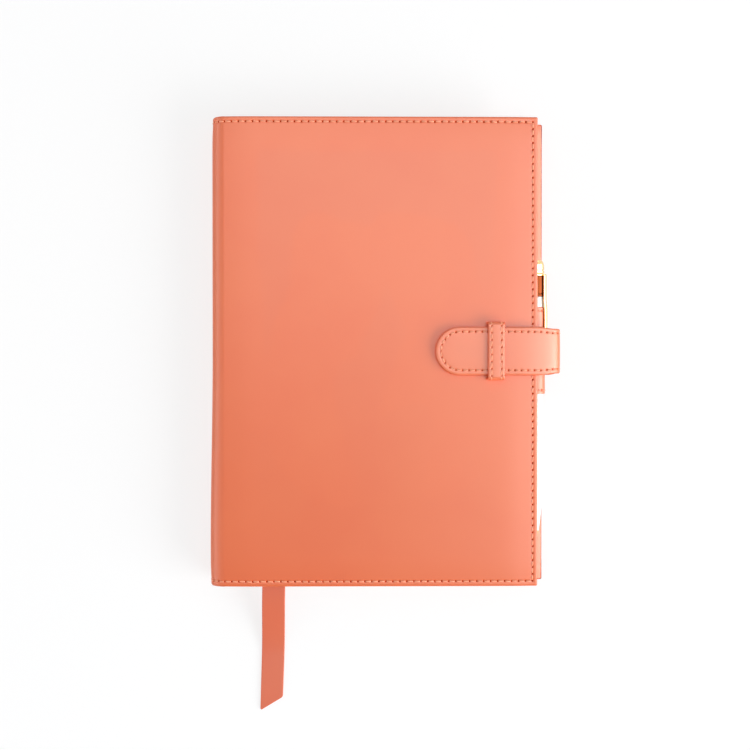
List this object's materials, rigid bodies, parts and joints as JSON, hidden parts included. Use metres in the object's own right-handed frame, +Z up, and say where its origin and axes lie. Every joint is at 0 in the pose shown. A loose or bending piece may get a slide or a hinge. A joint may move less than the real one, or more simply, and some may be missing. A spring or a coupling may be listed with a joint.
{
  "type": "refillable journal",
  "caption": "Soft leather journal cover with strap, keeper, pen loop, pen, bookmark and sewn refill; opens flat, strap unrolls, pen draws out and twists.",
  "frame": {"origin": "centre of the back cover's flat outer face", "axes": "+X towards the fore-edge, +Y towards the head, +Z up through the front cover"},
  "size_m": [0.1683, 0.2891, 0.0233],
  "materials": {
    "leather": "smooth coral leather",
    "lining": "thin coral lining leather",
    "board": "grey board",
    "thread": "waxed thread",
    "card": "thin card",
    "paper": "cream paper",
    "lacquer": "glossy white lacquer",
    "gold": "polished gold plate",
    "brass": "plain brass"
  },
  "bodies": {
    "back_cover": {"back_leather": "leather", "back_board": "board", "back_lining": "lining", "back_pocket": "lining", "back_stitching": "thread", "refill_back_card": "card", "signature_1": "paper", "signature_2": "paper", "signature_3": "paper", "signature_4": "paper", "pen_loop": "leather", "pen_loop_stitching_1": "thread", "pen_loop_stitching_2": "thread", "strap_root": "leather", "bookmark_ribbon": "leather"},
    "spine_a": {"spine_leather_a": "leather", "spine_lining_a": "lining"},
    "spine_b": {"spine_leather_b": "leather", "spine_lining_b": "lining", "refill_spine_card": "card"},
    "spine_c": {"spine_leather_c": "leather", "spine_lining_c": "lining"},
    "front_cover": {"front_leather": "leather", "front_board": "board", "front_lining": "lining", "front_pocket": "lining", "front_stitching": "thread", "refill_front_card": "card", "keeper_loop": "leather", "keeper_stitching_1": "thread", "keeper_stitching_2": "thread"},
    "leaves_upper": {"signature_5": "paper", "signature_6": "paper", "signature_7": "paper", "signature_8": "paper"},
    "strap_a": {"strap_leather_a": "leather", "strap_backing_a": "lining"},
    "strap_b": {"strap_leather_b": "leather", "strap_backing_b": "lining"},
    "strap_tongue": {"tongue_leather": "leather", "tongue_backing": "lining", "tongue_stitching": "thread"},
    "pen": {"pen_barrel": "lacquer", "pen_band": "gold", "pen_clip": "gold", "pen_tip": "gold"},
    "pen_knob": {"pen_knob": "gold", "pen_cam": "brass"},
    "pen_ink": {"pen_ink": "brass"},
    "bookmark_tail": {"bookmark_tail": "leather"}
  },
  "joints": [
    {"name": "cover_open", "type": "hinge", "parent": "back_cover", "child": "spine_b", "pos_m": [-0.0823, 0, 0.00205], "axis": [0, -1, 0], "range_deg": [0, 90]},
    {"name": "front_fold", "type": "hinge", "parent": "spine_b", "child": "front_cover", "pos_m": [-0.0823, 0, 0.01795], "axis": [0, -1, 0], "range_deg": [0, 90]},
    {"name": "spine_fold_a", "type": "hinge", "parent": "back_cover", "child": "spine_a", "pos_m": [-0.07735, 0, 0], "axis": [0, -1, 0], "range_deg": [0, 45]},
    {"name": "spine_fold_c", "type": "hinge", "parent": "front_cover", "child": "spine_c", "pos_m": [-0.07735, 0, 0.02], "axis": [0, 1, 0], "range_deg": [0, 45]},
    {"name": "leaves_turn", "type": "hinge", "parent": "back_cover", "child": "leaves_upper", "pos_m": [-0.08095, 0, 0.01], "axis": [0, -1, 0], "range_deg": [0, 180]},
    {"name": "strap_open", "type": "hinge", "parent": "back_cover", "child": "strap_a", "pos_m": [0.07735, 0, 0.001], "axis": [0, 1, 0], "range_deg": [0, 60]},
    {"name": "strap_fold_b", "type": "hinge", "parent": "strap_a", "child": "strap_b", "pos_m": [0.08405, 0, 0.01], "axis": [0, 1, 0], "range_deg": [0, 60]},
    {"name": "strap_fold_c", "type": "hinge", "parent": "strap_b", "child": "strap_tongue", "pos_m": [0.0744, 0, 0.022], "axis": [0, 1, 0], "range_deg": [0, 60]},
    {"name": "pen_draw", "type": "slide", "parent": "back_cover", "child": "pen", "axis": [0, 1, 0], "range_m": [0, 0.115]},
    {"name": "pen_twist", "type": "hinge", "parent": "pen", "child": "pen_knob", "pos_m": [0.0726, 0.038, 0.01], "axis": [0, 1, 0], "range_deg": [0, 180]},
    {"name": "ink_slide", "type": "slide", "parent": "pen", "child": "pen_ink", "axis": [0, -1, 0], "range_m": [0, 0.0022]},
    {"name": "bookmark_lift", "type": "hinge", "parent": "back_cover", "child": "bookmark_tail", "pos_m": [-0.05465, -0.114, 0.00995], "axis": [-1, 0, 0], "range_deg": [0, 90]}
  ],
  "couplings": [
    {"joint": "front_fold", "follows": "cover_open", "ratio": 1},
    {"joint": "spine_fold_a", "follows": "cover_open", "ratio": 0.5},
    {"joint": "spine_fold_c", "follows": "cover_open", "ratio": 0.5},
    {"joint": "leaves_turn", "follows": "cover_open", "ratio": 2},
    {"joint": "strap_fold_b", "follows": "strap_open", "ratio": 1},
    {"joint": "strap_fold_c", "follows": "strap_open", "ratio": 1},
    {"joint": "pen_twist", "follows": "ink_slide", "rad_per_m": 1428}
  ]
}
